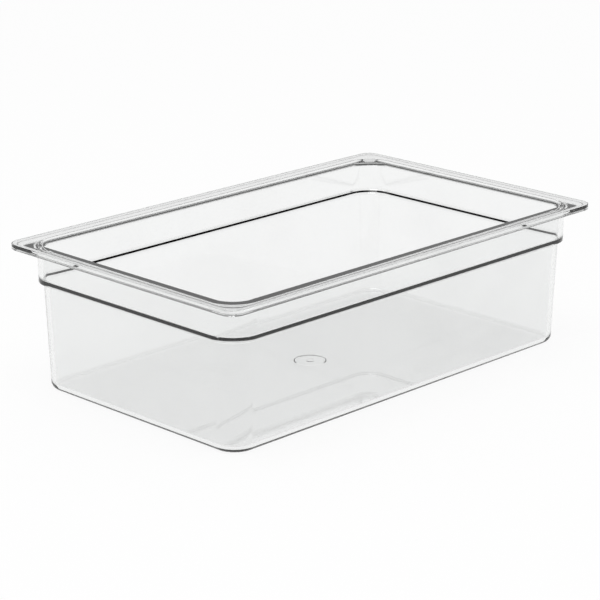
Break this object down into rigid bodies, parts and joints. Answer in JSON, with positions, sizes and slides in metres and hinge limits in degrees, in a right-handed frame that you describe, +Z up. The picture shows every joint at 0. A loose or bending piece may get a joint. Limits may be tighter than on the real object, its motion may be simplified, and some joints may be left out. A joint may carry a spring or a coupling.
{
  "type": "food pan",
  "caption": "Clear rectangular food pan with a flat flange, a stacking shoulder and drafted walls; holds food in a counter or cold well.",
  "frame": {"origin": "under the middle of the base, on the surface that the pan stands on", "axes": "+X along the pan, +Y across it, +Z up out of the open mouth"},
  "size_m": [0.53, 0.325, 0.1524],
  "materials": {
    "clear_polycarbonate": "clear, water-white moulded polycarbonate with a polished surface"
  },
  "bodies": {
    "root": {"pan": "clear_polycarbonate"}
  },
  "joints": []
}
